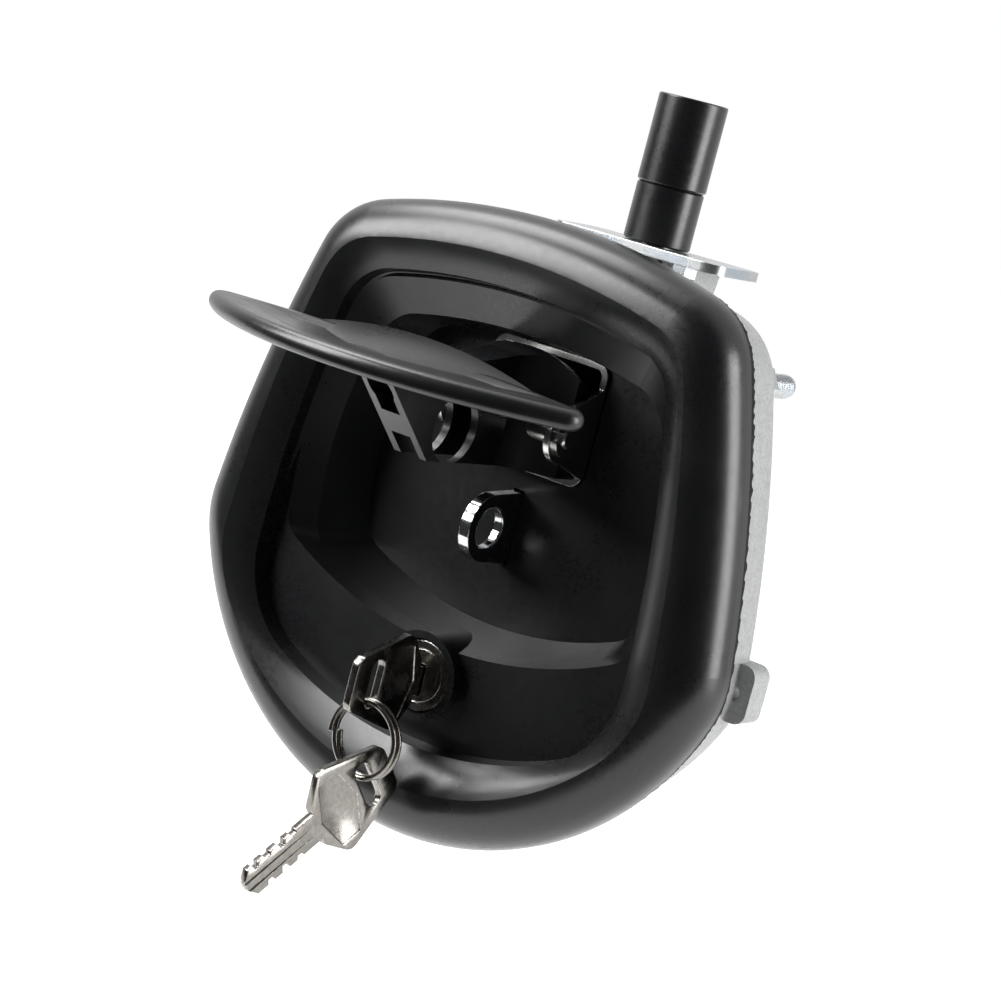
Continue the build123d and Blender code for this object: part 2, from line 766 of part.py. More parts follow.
# Slide plate: a forked bar that the crank pin lifts
rise = crank_radius * (sin(radians(fold_range - crank_down)) + sin(crank_angle))
slot_half = crank_pin_radius + 2 * fit_gap
sleeve_foot = tower_top + guide_thickness + fit_gap
slot_end_y = pin_y + crank_radius + fit_gap
bar_back = rod_y + rod_bar_width / 2
cross_pin_z = (stud_foot + rod_bar_top) / 2
cross_pin_half = stud_radius - 0.2
with BuildPart() as slide_plate:
    with BuildSketch(Plane.YZ.offset(-slide_thickness / 2)):
        with BuildLine():
            fork_low = crank_pin_z - slot_half - fork_wall
            fork_high = crank_pin_z + slot_half + fork_wall
            Polyline(
                (fork_tip_y, fork_low),
                (bar_back, fork_low),
                (bar_back, rod_bar_top),
                (bar_back - rod_bar_width, rod_bar_top),
                (bar_back - rod_bar_width, fork_high + fork_shoulder),
                (slot_end_y + 2 * fork_shoulder, fork_high),
                (fork_tip_y, fork_high),
                (fork_tip_y, fork_low),
            )
        make_face()
        fillet(vertices().group_by(Axis.X)[0], 2)
        with Locations((slot_end_y, crank_pin_z)):
            Circle(slot_half, mode=Mode.SUBTRACT)
        with Locations((rod_y, cross_pin_z)):
            Circle(screw_radius, mode=Mode.SUBTRACT)
        with Locations(((slot_end_y + fork_tip_y) / 2 - 1, crank_pin_z)):
            Rectangle(slot_end_y - fork_tip_y + 2, 2 * slot_half, mode=Mode.SUBTRACT)
    extrude(amount=slide_thickness)
slide_plate.part.label = "slide_plate"
export_step(slide_plate.part, "parts/slide_plate.step")
print("rod travel", round(rise, 3), "mm for", fold_range, "degrees")

# Rod stud: turned pin over the bar, cross pinned, carrying the sleeve outside
with BuildPart() as rod_stud:
    with BuildSketch(Plane.XY.offset(stud_foot)):
        with Locations((0, rod_y)):
            Circle(stud_radius)
    extrude(amount=sleeve_top - stud_end_gap - stud_foot)
    chamfer(faces().sort_by(Axis.Z)[-1].edges() + faces().sort_by(Axis.Z)[0].edges(), 0.6)
    with BuildSketch(Plane.XY.offset(stud_foot)):
        with Locations((0, rod_y)):
            Rectangle(slide_thickness, 4 * stud_radius)
    extrude(amount=rod_bar_top - stud_foot, mode=Mode.SUBTRACT)
    with BuildSketch(Plane.YZ.offset(-stud_radius - 1)):
        with Locations((rod_y, cross_pin_z)):
            Circle(screw_radius)
    extrude(amount=2 * stud_radius + 2, mode=Mode.SUBTRACT)
rod_stud.part.label = "rod_stud"
export_step(rod_stud.part, "parts/rod_stud.step")

with BuildPart() as rod_cross_pin:
    with BuildSketch(Plane.YZ.offset(-cross_pin_half)):
        with Locations((rod_y, cross_pin_z)):
            Circle(screw_radius)
    extrude(amount=2 * cross_pin_half)
rod_cross_pin.part.label = "rod_cross_pin"
export_step(rod_cross_pin.part, "parts/rod_cross_pin.step")

# Rod sleeve in two lengths with a fine joint between them
with BuildPart() as rod_sleeve_lower:
    with BuildSketch(Plane.XY.offset(sleeve_foot)):
        with Locations((0, rod_y)):
            Circle(lower_sleeve_radius)
            Circle(stud_radius, mode=Mode.SUBTRACT)
    extrude(amount=sleeve_joint - sleeve_foot)
    outer = edges().filter_by(GeomType.CIRCLE).filter_by(lambda e: e.radius > stud_radius + 1)
    chamfer(outer, 0.5)
rod_sleeve_lower.part.label = "rod_sleeve_lower"
export_step(rod_sleeve_lower.part, "parts/rod_sleeve_lower.step")

with BuildPart() as rod_sleeve_upper:
    with BuildSketch(Plane.XY.offset(sleeve_joint)):
        with Locations((0, rod_y)):
            Circle(upper_sleeve_radius)
    extrude(amount=sleeve_top - sleeve_joint)
    fillet(faces().sort_by(Axis.Z)[-1].edges(), sleeve_edge)
    chamfer(faces().sort_by(Axis.Z)[0].edges(), sleeve_edge)
    with BuildSketch(Plane.XY.offset(sleeve_joint)):
        with Locations((0, rod_y)):
            Circle(stud_radius)
    extrude(amount=sleeve_top - stud_end_gap - sleeve_joint, mode=Mode.SUBTRACT)
rod_sleeve_upper.part.label = "rod_sleeve_upper"
export_step(rod_sleeve_upper.part, "parts/rod_sleeve_upper.step")

# Key cylinder: shell with a head, threaded barrel and nut
cylinder_at = Location((0, cylinder_z))
with BuildPart() as cylinder_shell:
    with BuildSketch(front_plane(-head_depth + head_thickness)):
        with Locations(cylinder_at):
            Circle(head_radius)
    extrude(amount=head_thickness)
    chamfer(faces().sort_by(Axis.Y)[0].edges(), 0.5)
    with BuildSketch(front_plane(barrel_back)):
        with Locations(cylinder_at):
            Circle(barrel_radius)
    extrude(amount=barrel_back + head_depth - head_thickness)
    with BuildSketch(front_plane(barrel_back)):
        with Locations(cylinder_at):
            Circle(plug_radius + running_gap)
    extrude(amount=barrel_back + head_depth, mode=Mode.SUBTRACT)
cylinder_shell.part.label = "cylinder_shell"
export_step(cylinder_shell.part, "parts/cylinder_shell.step")

with BuildPart() as cylinder_nut:
    with BuildSketch(front_plane(pan_back + nut_thickness)):
        with Locations(cylinder_at):
            RegularPolygon(nut_half_width, 6)
            Circle(barrel_radius, mode=Mode.SUBTRACT)
    extrude(amount=nut_thickness)
cylinder_nut.part.label = "cylinder_nut"
export_step(cylinder_nut.part, "parts/cylinder_nut.step")

# Plug with an upright keyway, its square tail, cam and cam screw
with BuildPart() as cylinder_plug:
    with BuildSketch(front_plane(barrel_back + 0.4)):
        with Locations(cylinder_at):
            Circle(plug_radius)
    extrude(amount=barrel_back + 0.4 + head_depth)
    with BuildSketch(front_plane(tail_back)):
        with Locations(cylinder_at):
            Rectangle(2 * tail_half_width, 2 * tail_half_width)
    extrude(amount=tail_back - barrel_back)
    with BuildSketch(front_plane(key_tip_y + 1)):
        with Locations((0, key_z)):
            Rectangle(keyway_width, keyway_height)
    extrude(amount=key_tip_y + 1 + head_depth, mode=Mode.SUBTRACT)
cylinder_plug.part.label = "cylinder_plug"
export_step(cylinder_plug.part, "parts/cylinder_plug.step")

cam_front = barrel_back + 0.4
with BuildPart() as lock_cam:
    with BuildSketch(front_plane(cam_front + cam_thickness)):
        with Locations(cylinder_at):
            Circle(plug_radius + 0.6)
        with Locations((0, cylinder_z + cam_length)):
            Circle(cam_half_width)
        make_hull()
        with Locations(cylinder_at):
            Rectangle(2 * tail_half_width, 2 * tail_half_width, mode=Mode.SUBTRACT)
    extrude(amount=cam_thickness)
lock_cam.part.label = "lock_cam"
export_step(lock_cam.part, "parts/lock_cam.step")

with BuildPart() as cam_screw:
    with BuildSketch(front_plane(tail_back + screw_head_height)):
        with Locations(cylinder_at):
            Circle(screw_head_radius + 1)
    extrude(amount=screw_head_height)
    fillet(faces().sort_by(Axis.Y)[-1].edges(), 0.8)
cam_screw.part.label = "cam_screw"
export_step(cam_screw.part, "parts/cam_screw.step")

# Keys: a bow with a slot for the ring and a blade, drawn with the head edge on the Y axis
with BuildPart() as key_form:
    with BuildSketch():
        with BuildLine():
            for side in (-1, 1):
                Polyline(
                    (0, 0),
                    (0, side * bow_far_half),
                    (bow_wide_at, side * bow_wide_half),
                    (bow_neck_at, side * bow_neck_half),
                    (bow_neck_at, side * blade_half),
                    (key_length - key_point_length, side * blade_half),
                    (key_length, side * key_point_half),
                    (key_length, 0),
                )
        make_face()
        bow_corners = [v for v in vertices() if v.X < bow_neck_at - 1]
        fillet([v for v in bow_corners if abs(v.Y) > 1], bow_corner)
        with Locations((key_slot_at, 0)):
            SlotOverall(key_slot_length, key_slot_width, rotation=90, mode=Mode.SUBTRACT)
    extrude(amount=key_thickness / 2, both=True)
key_shape = key_form.part
cylinder_head = Plane((0, key_head_y, key_z), x_dir=(0, 1, 0), z_dir=(1, 0, 0))
with BuildPart() as inserted_key:
    add(cylinder_head.location * key_shape)
inserted_key.part.label = "inserted_key"
export_step(inserted_key.part, "parts/inserted_key.step")

spare_place = Plane(spare_head, x_dir=spare_along, z_dir=spare_normal)
with BuildPart() as spare_key:
    add(spare_place.location * key_shape)
spare_key.part.label = "spare_key"
export_step(spare_key.part, "parts/spare_key.step")

# Key ring: two turns of wire in one unbroken tube
plain_coil = Helix(
    ring_pitch, 2 * ring_pitch, ring_radius, center=(0, -ring_pitch, 0), direction=(0, 1, 0)
)
coil = Location(ring_center, (0, ring_turn, 0)) * plain_coil
with BuildPart() as key_ring:
    with BuildSketch(Plane(coil @ 0, z_dir=coil % 0)):
        Circle(ring_wire)
    sweep(path=coil, is_frenet=True)
key_ring.part.label = "key_ring"
export_step(key_ring.part, "parts/key_ring.step")
coil_points = [coil @ (i / 400) for i in range(401)]
turn_gap = min(
    (coil_points[i] - coil_points[j]).length for i in range(401) for j in range(i + 100, 401)
)
print("least gap of the ring to itself", round(turn_gap - 2 * ring_wire, 3), "mm")
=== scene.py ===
# %% [markdown]
# Paddle lock for a panel: the looks of a finished part.
# The solids come from the frame, which is the machine drawing of the lock: every casting, pin, plate and key
# already has its size and place. This lesson gives them smooth surfaces, their finishes, light and a camera.

# %% Load the frame
import json
from math import cos, pi, radians, sin

import bpy
from mathutils import Matrix, Vector

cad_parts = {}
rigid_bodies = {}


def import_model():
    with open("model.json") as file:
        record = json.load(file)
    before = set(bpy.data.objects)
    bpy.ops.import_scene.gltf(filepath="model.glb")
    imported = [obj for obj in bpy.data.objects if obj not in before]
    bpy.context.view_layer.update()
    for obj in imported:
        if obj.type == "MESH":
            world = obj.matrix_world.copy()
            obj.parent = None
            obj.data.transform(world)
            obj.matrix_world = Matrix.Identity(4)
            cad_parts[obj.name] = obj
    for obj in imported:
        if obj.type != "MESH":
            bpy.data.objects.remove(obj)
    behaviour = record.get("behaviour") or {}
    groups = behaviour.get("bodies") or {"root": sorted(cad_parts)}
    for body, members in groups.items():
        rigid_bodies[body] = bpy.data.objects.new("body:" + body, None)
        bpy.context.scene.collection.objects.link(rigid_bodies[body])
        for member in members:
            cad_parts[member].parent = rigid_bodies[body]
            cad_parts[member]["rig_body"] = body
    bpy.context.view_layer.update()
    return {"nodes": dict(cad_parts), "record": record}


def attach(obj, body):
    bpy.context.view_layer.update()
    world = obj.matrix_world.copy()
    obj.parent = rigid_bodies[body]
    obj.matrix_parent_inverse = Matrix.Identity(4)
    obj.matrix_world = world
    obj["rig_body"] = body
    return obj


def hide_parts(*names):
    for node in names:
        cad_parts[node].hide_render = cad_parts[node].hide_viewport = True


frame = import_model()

MM = 0.001
slot_of = {part["node"]: part["material_slot"] for part in frame["record"]["subparts"]}
print("solids in the frame:", len(frame["nodes"]))

# %% [markdown]
# The camera stands in front, to the right and a little above, and leans over, as in the photograph.
# Its three directions are worked out from the heading, the height and the lean of the view.

# %% Camera
heading = radians(34.36)
height_angle = radians(9.34)
lean = radians(14.47)
camera_distance = 0.600
camera_lens = 90.6
picture_size = 1001
aim_pixel = (478.4, 514.6)

away = Vector((sin(heading) * cos(height_angle), -cos(heading) * cos(height_angle), sin(height_angle)))
level = Vector((cos(heading), sin(heading), 0.0))
upright = away.cross(level)
to_right = cos(lean) * level + sin(lean) * upright
to_top = -sin(lean) * level + cos(lean) * upright

camera_data = bpy.data.cameras.new("camera")
camera_data.lens = camera_lens
camera_data.shift_x = (picture_size / 2 - aim_pixel[0]) / picture_size
camera_data.shift_y = (aim_pixel[1] - picture_size / 2) / picture_size
camera_data.clip_end = 20.0
camera = bpy.data.objects.new("camera", camera_data)
bpy.context.scene.collection.objects.link(camera)
camera_turn = Matrix((to_right, to_top, away)).transposed().to_4x4()
camera.matrix_world = Matrix.Translation(away * camera_distance) @ camera_turn
bpy.context.scene.camera = camera
bpy.context.scene.view_settings.view_transform = "Standard"
print("camera at", [round(v, 3) for v in camera.location])

# %% [markdown]
# Soft studio light, as for a small black object on white: two broad panels, one on the left and one over it,
# lay the long pale highlight on the top of the rim and on the ledge in the pocket. A tall one behind on the
# right lights the side of the housing. The right of the front gets none, as it stays nearly black on the real
# one.

# %% Lights
lamp_rows = (
    # name, place and target in metres, width and height in metres, watts
    ("panel_key", (-0.56, -0.56, 0.45), (0, 0, 0), 0.48, 0.64, 14),
    ("panel_over", (-0.60, 0.00, 0.92), (0, 0, 0), 0.5, 0.55, 8),
    ("panel_side", (1.05, 0.30, 0.30), (0, 0.03, 0), 0.5, 0.8, 12),
)


def soft_panel(name, place, target, width, height, power):
    """Rectangular lamp at a place, turned towards a target."""
    data = bpy.data.lights.new(name, "AREA")
    data.shape = "RECTANGLE"
    data.size = width
    data.size_y = height
    data.energy = power
    lamp = bpy.data.objects.new(name, data)
    bpy.context.scene.collection.objects.link(lamp)
    lamp.location = place
    lamp.rotation_euler = (Vector(target) - Vector(place)).to_track_quat("-Z", "Y").to_euler()


for row in lamp_rows:
    soft_panel(*row)
print("lamps:", len(lamp_rows))

# %% [markdown]
# The lock was pictured on plain white. The world is white to the camera, and in mirrors and glass too, so
# that the plated metal shows the backdrop. Mirrors that face the photographer's side of the room see it
# darker, and that gives chrome its contrast. The light on matt surfaces fades towards that side too, and is a
# little weaker.

# %% World
backdrop_strength = 1.0
room_strength = 0.05
room_end = -0.25
backdrop_start = 0.2
fill_strength = 0.7


def backdrop_rays(tree):
    """Socket that is 1 for the rays that see the backdrop: those of the camera, of gloss and of glass."""
    rays = tree.nodes.new("ShaderNodeLightPath")
    total = rays.outputs["Is Camera Ray"]
    for kind in ("Is Glossy Ray", "Is Transmission Ray"):
        adder = tree.nodes.new("ShaderNodeMath")
        adder.operation = "ADD"
        adder.use_clamp = True
        tree.links.new(total, adder.inputs[0])
        tree.links.new(rays.outputs[kind], adder.inputs[1])
        total = adder.outputs[0]
    return total


def seen_strength(tree):
    """Brightness of the backdrop: plain for the camera, and fading to the darker room in mirrors."""
    way = tree.nodes.new("ShaderNodeTexCoord").outputs["Generated"]
    parts = tree.nodes.new("ShaderNodeSeparateXYZ")
    tree.links.new(way, parts.inputs[0])
    fade = tree.nodes.new("ShaderNodeMapRange")
    fade.inputs["From Min"].default_value = room_end
    fade.inputs["From Max"].default_value = backdrop_start
    fade.inputs["To Min"].default_value = room_strength
    fade.inputs["To Max"].default_value = backdrop_strength
    tree.links.new(parts.outputs["Y"], fade.inputs["Value"])
    camera_ray = tree.nodes.new("ShaderNodeLightPath").outputs["Is Camera Ray"]
    brighter = tree.nodes.new("ShaderNodeMath")
    brighter.operation = "MAXIMUM"
    tree.links.new(fade.outputs["Result"], brighter.inputs[0])
    tree.links.new(camera_ray, brighter.inputs[1])
    return brighter.outputs[0]


world = bpy.data.worlds.new("studio")
bpy.context.scene.world = world
world.use_nodes = True
tree = world.node_tree
tree.nodes.clear()
seen = seen_strength(tree)
fill = tree.nodes.new("ShaderNodeBackground")
fill_level = tree.nodes.new("ShaderNodeMath")
fill_level.operation = "MULTIPLY"
fill_level.inputs[1].default_value = fill_strength
tree.links.new(seen, fill_level.inputs[0])
tree.links.new(fill_level.outputs[0], fill.inputs["Strength"])
fill.inputs["Color"].default_value = (1, 1, 1, 1)
white = tree.nodes.new("ShaderNodeBackground")
tree.links.new(seen, white.inputs["Strength"])
white.inputs["Color"].default_value = (1, 1, 1, 1)
chooser = tree.nodes.new("ShaderNodeMixShader")
world_out = tree.nodes.new("ShaderNodeOutputWorld")
tree.links.new(backdrop_rays(tree), chooser.inputs["Fac"])
tree.links.new(fill.outputs[0], chooser.inputs[1])
tree.links.new(white.outputs[0], chooser.inputs[2])
tree.links.new(chooser.outputs[0], world_out.inputs["Surface"])
print("world:", world.name)

# %% [markdown]
# The floor is a plain pale sheet well below the lock. Part of its brightness glows by itself for the rays
# that see the backdrop, which carries it to white. The rest is lit, so that the shadow of the lock still
# falls on it.

# %% Floor
floor_drop = 0.16
floor_size = 12.0
floor_front = -0.16
floor_tone = 0.62
floor_glow = 0.78

bpy.ops.object.select_all(action="DESELECT")
bpy.ops.mesh.primitive_plane_add(size=floor_size, location=(0, floor_size / 2 + floor_front, -floor_drop))
floor = bpy.context.active_object
floor.name = "floor"
bpy.ops.object.transform_apply(location=True, rotation=False, scale=False)
floor_paint = bpy.data.materials.new("floor_white")
floor_paint.use_nodes = True
tree = floor_paint.node_tree
tree.nodes.clear()
matt = tree.nodes.new("ShaderNodeBsdfDiffuse")
matt.inputs["Color"].default_value = (floor_tone, floor_tone, floor_tone, 1)
glow = tree.nodes.new("ShaderNodeEmission")
glow_level = tree.nodes.new("ShaderNodeMath")
glow_level.operation = "MULTIPLY"
glow_level.inputs[1].default_value = floor_glow
both = tree.nodes.new("ShaderNodeAddShader")
floor_out = tree.nodes.new("ShaderNodeOutputMaterial")
tree.links.new(backdrop_rays(tree), glow_level.inputs[0])
tree.links.new(glow_level.outputs[0], glow.inputs["Strength"])
tree.links.new(matt.outputs[0], both.inputs[0])
tree.links.new(glow.outputs[0], both.inputs[1])
tree.links.new(both.outputs[0], floor_out.inputs["Surface"])
floor.data.materials.append(floor_paint)
print("floor at", -floor_drop)

# %% [markdown]
# Effects that several finishes share are node groups, built once. The first is grain: the fine hills of a
# sprayed or cast skin. Two sizes of noise are mixed, since a real skin has a fine grain on slow waves. It
# gives a height for the bump and a tone that can shift the colour.

# %% Helpers for node groups
def start_group(name, inputs, outputs):
    """New shader group with float inputs and the outputs that are named; returns it and its two ends."""
    group = bpy.data.node_groups.new(name, "ShaderNodeTree")
    for label, value in inputs:
        socket = group.interface.new_socket(name=label, in_out="INPUT", socket_type="NodeSocketFloat")
        socket.default_value = value
    for label, kind in outputs:
        group.interface.new_socket(name=label, in_out="OUTPUT", socket_type=kind)
    return group, group.nodes.new("NodeGroupInput"), group.nodes.new("NodeGroupOutput")


def math_node(tree, operation, first, second):
    """Math node on two sockets or numbers; returns its output."""
    node = tree.nodes.new("ShaderNodeMath")
    node.operation = operation
    for place, value in enumerate((first, second)):
        if isinstance(value, (int, float)):
            node.inputs[place].default_value = value
        else:
            tree.links.new(value, node.inputs[place])
    return node.outputs[0]


def noise_node(tree, vector, scale, detail, roughness):
    """Noise on a vector socket, with its scale a socket or a number; returns its height."""
    node = tree.nodes.new("ShaderNodeTexNoise")
    node.inputs["Detail"].default_value = detail
    node.inputs["Roughness"].default_value = roughness
    tree.links.new(vector, node.inputs["Vector"])
    if isinstance(scale, (int, float)):
        node.inputs["Scale"].default_value = scale
    else:
        tree.links.new(scale, node.inputs["Scale"])
    return node.outputs["Fac"]


def spread(tree, value, low, high, to_low, to_high):
    """Map Range node with clamped ends; returns its result."""
    node = tree.nodes.new("ShaderNodeMapRange")
    for place, number in zip(("From Min", "From Max", "To Min", "To Max"), (low, high, to_low, to_high)):
        if isinstance(number, (int, float)):
            node.inputs[place].default_value = number
        else:
            tree.links.new(number, node.inputs[place])
    tree.links.new(value, node.inputs["Value"])
    return node.outputs["Result"]


FLOAT = "NodeSocketFloat"
VECTOR = "NodeSocketVector"
print("helpers ready")

# %% Grain group
grain, ends, exits = start_group(
    "skin_grain", [("Fine", 2600.0), ("Coarse", 500.0), ("Share", 0.35)], [("Height", FLOAT), ("Tone", FLOAT)]
)
where = grain.nodes.new("ShaderNodeTexCoord").outputs["Object"]
fine = noise_node(grain, where, ends.outputs["Fine"], 3.0, 0.6)
coarse = noise_node(grain, where, ends.outputs["Coarse"], 2.0, 0.5)
blend = grain.nodes.new("ShaderNodeMix")
grain.links.new(ends.outputs["Share"], blend.inputs["Factor"])
grain.links.new(fine, blend.inputs["A"])
grain.links.new(coarse, blend.inputs["B"])
grain.links.new(blend.outputs["Result"], exits.inputs["Height"])
grain.links.new(spread(grain, coarse, 0.3, 0.7, 0.0, 1.0), exits.inputs["Tone"])
print("group:", grain.name)

# %% [markdown]
# Worn edges: where a corner is handled, a coat gets thin and polished. The bevel node gives the direction
# that a slightly rounded corner would face. Where it differs from the face itself, there is an edge, and a
# noise breaks the line up. The rounded direction is given out too, because no real edge is perfectly sharp.

# %% Edge wear group
edge_starts = 0.995
edge_full = 0.9
least_wear = 0.15
wear, ends, exits = start_group(
    "edge_wear",
    [("Radius", 0.0004), ("Breakup", 700.0), ("Amount", 1.0)],
    [("Mask", FLOAT), ("Normal", VECTOR)],
)
rounded = wear.nodes.new("ShaderNodeBevel")
rounded.samples = 4
wear.links.new(ends.outputs["Radius"], rounded.inputs["Radius"])
faces_way = wear.nodes.new("ShaderNodeNewGeometry").outputs["Normal"]
likeness = wear.nodes.new("ShaderNodeVectorMath")
likeness.operation = "DOT_PRODUCT"
wear.links.new(rounded.outputs["Normal"], likeness.inputs[0])
wear.links.new(faces_way, likeness.inputs[1])
edge = spread(wear, likeness.outputs["Value"], edge_starts, edge_full, 0.0, 1.0)
where = wear.nodes.new("ShaderNodeTexCoord").outputs["Object"]
patches = spread(wear, noise_node(wear, where, ends.outputs["Breakup"], 3.0, 0.6), 0.4, 0.6, least_wear, 1.0)
worn = math_node(wear, "MULTIPLY", math_node(wear, "MULTIPLY", edge, patches), ends.outputs["Amount"])
wear.links.new(worn, exits.inputs["Mask"])
wear.links.new(rounded.outputs["Normal"], exits.inputs["Normal"])
print("group:", wear.name)

# %% [markdown]
# Handling: fingers and cloths leave soft dull patches and a few fine scratches. Slow noise makes the patches,
# and noise that is squeezed hard one way makes short straight scratches.

# %% Handling group
scratch_turn = (0.5, 0.7, 0.3)
scratch_squeeze = (1.0, 0.06, 0.06)
handling, ends, exits = start_group(
    "handling", [("Patches", 35.0), ("Scratches", 900.0)], [("Smudge", FLOAT), ("Scratch", FLOAT)]
)
where = handling.nodes.new("ShaderNodeTexCoord").outputs["Object"]
slow = noise_node(handling, where, ends.outputs["Patches"], 4.0, 0.55)
handling.links.new(spread(handling, slow, 0.35, 0.68, 0.0, 1.0), exits.inputs["Smudge"])
squeeze = handling.nodes.new("ShaderNodeMapping")
squeeze.inputs["Rotation"].default_value = scratch_turn
squeeze.inputs["Scale"].default_value = scratch_squeeze
handling.links.new(where, squeeze.inputs["Vector"])
lines = noise_node(handling, squeeze.outputs["Vector"], ends.outputs["Scratches"], 2.0, 0.5)
handling.links.new(spread(handling, lines, 0.66, 0.72, 0.0, 1.0), exits.inputs["Scratch"])
print("group:", handling.name)

# %% [markdown]
# Rolled and brushed sheet has fine parallel lines. Noise that is stretched along one direction gives them.

# %% Brushed group
brushed, ends, exits = start_group(
    "brushed", [("Along", 60.0), ("Across", 4500.0)], [("Height", FLOAT), ("Tone", FLOAT)]
)
where = brushed.nodes.new("ShaderNodeTexCoord").outputs["Object"]
stretch = brushed.nodes.new("ShaderNodeCombineXYZ")
brushed.links.new(ends.outputs["Along"], stretch.inputs["X"])
brushed.links.new(ends.outputs["Across"], stretch.inputs["Y"])
brushed.links.new(ends.outputs["Across"], stretch.inputs["Z"])
scaled = brushed.nodes.new("ShaderNodeVectorMath")
scaled.operation = "MULTIPLY"
brushed.links.new(where, scaled.inputs[0])
brushed.links.new(stretch.outputs[0], scaled.inputs[1])
lines = noise_node(brushed, scaled.outputs[0], 1.0, 3.0, 0.6)
brushed.links.new(lines, exits.inputs["Height"])
brushed.links.new(spread(brushed, lines, 0.3, 0.7, 0.0, 1.0), exits.inputs["Tone"])
print("group:", brushed.name)

# %% [markdown]
# Each finish is a Principled surface of its own. A small helper starts one with its plain numbers on the
# shader's sockets, and others add a group, mix two colours by a mask, and lead a height to the bump.

# %% Helpers for finishes
finishes = {}


def start_finish(name, metallic, specular):
    """New material with its shader; numbers that are the same all over are set here."""
    material = bpy.data.materials.new(name)
    material.use_nodes = True
    shader = material.node_tree.nodes["Principled BSDF"]
    shader.inputs["Metallic"].default_value = metallic
    shader.inputs["Specular IOR Level"].default_value = specular
    finishes[name] = material
    return material.node_tree, shader


def add_group(tree, group, **values):
    """Place a node group with its own values; returns its outputs."""
    node = tree.nodes.new("ShaderNodeGroup")
    node.node_tree = group
    for label, value in values.items():
        node.inputs[label].default_value = value
    return node.outputs


def mix_colors(tree, mask, first, second):
    """Colour that goes from the first to the second by a mask; each is a socket or three numbers."""
    node = tree.nodes.new("ShaderNodeMix")
    node.data_type = "RGBA"
    tree.links.new(mask, node.inputs["Factor"])
    for place, value in ((6, first), (7, second)):
        if isinstance(value, tuple):
            node.inputs[place].default_value = (*value, 1)
        else:
            tree.links.new(value, node.inputs[place])
    return node.outputs[2]


def add_bump(tree, shader, height, distance, strength, normal=None):
    """Bump from a height, on top of a normal where one is given."""
    node = tree.nodes.new("ShaderNodeBump")
    node.inputs["Distance"].default_value = distance
    node.inputs["Strength"].default_value = strength
    tree.links.new(height, node.inputs["Height"])
    if normal is not None:
        tree.links.new(normal, node.inputs["Normal"])
    tree.links.new(node.outputs["Normal"], shader.inputs["Normal"])


print("finish helpers ready")

# %% [markdown]
# Black powder coat: a satin skin with a fine peel, slightly greyer where the powder lies thin at the edges,
# and duller where it was touched.

# %% Black coat
tree, shader = start_finish("black_coat", 0.0, 0.5)
skin = add_group(tree, grain, Fine=2400.0, Coarse=700.0, Share=0.45)
touch = add_group(tree, handling, Patches=28.0, Scratches=700.0)
rim = add_group(tree, wear, Radius=0.0004, Breakup=600.0, Amount=0.25)
coat_black, coat_touched = (0.0045, 0.0048, 0.0055), (0.0065, 0.0068, 0.0075)
coat_thin = (0.012, 0.012, 0.013)
deep = mix_colors(tree, touch["Smudge"], coat_black, coat_touched)
tree.links.new(mix_colors(tree, rim["Mask"], deep, coat_thin), shader.inputs["Base Color"])
base_gloss = spread(tree, touch["Smudge"], 0.0, 1.0, 0.27, 0.34)
fine_gloss = math_node(tree, "ADD", base_gloss, spread(tree, skin["Tone"], 0.0, 1.0, -0.02, 0.03))
tree.links.new(fine_gloss, shader.inputs["Roughness"])
add_bump(tree, shader, skin["Height"], 0.00006, 0.2)
print("finish:", "black_coat")

# %% [markdown]
# Die-cast alloy of the housing: pale grey with a sandy blasted grain, a little darker in its pits.

# %% Cast alloy
tree, shader = start_finish("cast_alloy", 0.55, 0.5)
skin = add_group(tree, grain, Fine=1700.0, Coarse=520.0, Share=0.3)
touch = add_group(tree, handling, Patches=20.0, Scratches=500.0)
rim = add_group(tree, wear, Radius=0.0005, Breakup=500.0, Amount=0.8)
alloy_pit, alloy_hill = (0.29, 0.294, 0.298), (0.44, 0.444, 0.448)
alloy_aged, alloy_bare = (0.33, 0.33, 0.322), (0.55, 0.558, 0.566)
hills = spread(tree, skin["Height"], 0.35, 0.65, 0.0, 1.0)
pale = mix_colors(tree, hills, alloy_pit, alloy_hill)
aged = mix_colors(tree, math_node(tree, "MULTIPLY", touch["Smudge"], 0.25), pale, alloy_aged)
tree.links.new(mix_colors(tree, rim["Mask"], aged, alloy_bare), shader.inputs["Base Color"])
tree.links.new(spread(tree, skin["Height"], 0.3, 0.7, 0.56, 0.42), shader.inputs["Roughness"])
add_bump(tree, shader, skin["Height"], 0.00016, 0.6, rim["Normal"])
print("finish:", "cast_alloy")

# %% [markdown]
# Zinc plate: bright bluish steel with slow bands of a warmer tint, from the bath, over faint rolling lines.

# %% Zinc plate
tree, shader = start_finish("zinc_steel", 1.0, 0.5)
rolled = add_group(tree, brushed, Along=120.0, Across=3200.0)
touch = add_group(tree, handling, Patches=75.0, Scratches=800.0)
rim = add_group(tree, wear, Radius=0.0003, Breakup=800.0, Amount=0.8)
zinc_blue, zinc_warm = (0.41, 0.45, 0.49), (0.49, 0.475, 0.42)
zinc_line, zinc_edge = (0.31, 0.335, 0.365), (0.85, 0.86, 0.87)
tint = mix_colors(tree, touch["Smudge"], zinc_blue, zinc_warm)
streaked = mix_colors(tree, math_node(tree, "MULTIPLY", rolled["Tone"], 0.4), tint, zinc_line)
tree.links.new(mix_colors(tree, rim["Mask"], streaked, zinc_edge), shader.inputs["Base Color"])
gloss = spread(tree, touch["Smudge"], 0.0, 1.0, 0.24, 0.34)
scuffed = math_node(tree, "ADD", gloss, math_node(tree, "MULTIPLY", touch["Scratch"], 0.15))
tree.links.new(scuffed, shader.inputs["Roughness"])
add_bump(tree, shader, rolled["Height"], 0.00004, 0.35, rim["Normal"])
